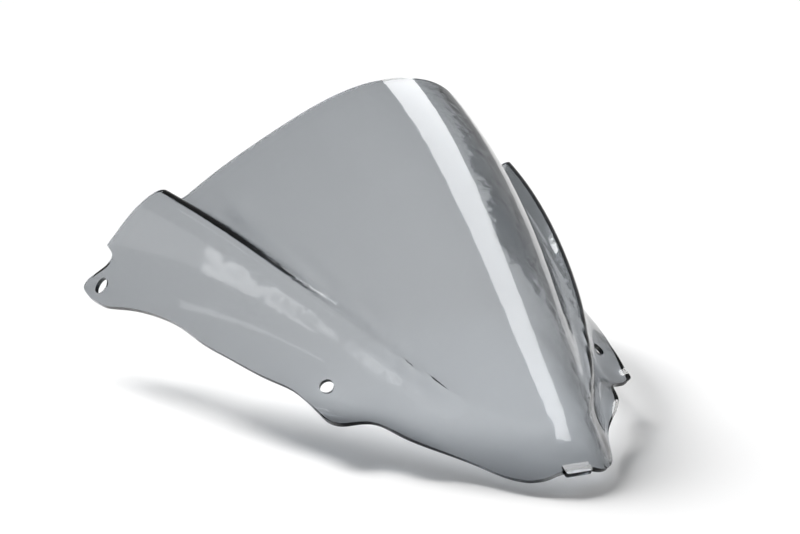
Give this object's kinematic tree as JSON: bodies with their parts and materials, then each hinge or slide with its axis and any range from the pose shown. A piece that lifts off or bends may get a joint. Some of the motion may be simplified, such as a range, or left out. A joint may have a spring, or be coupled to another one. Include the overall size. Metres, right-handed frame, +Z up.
{
  "type": "motorcycle windscreen",
  "caption": "Double-curved smoke-grey bubble windscreen for a sports motorcycle, with flared side wings, rear ears and open screw holes.",
  "frame": {"origin": "on the mirror plane, halfway along the part's length and level with its lowest edge", "axes": "+X to the rider's left, -Y forward towards the nose, +Z up as the screen sits on the motorcycle"},
  "size_m": [0.3484, 0.3848, 0.2037],
  "materials": {
    "smoke_acrylic": "gloss, smoke-grey transparent acrylic sheet"
  },
  "bodies": {
    "root": {"windscreen_shell": "smoke_acrylic"}
  },
  "joints": []
}
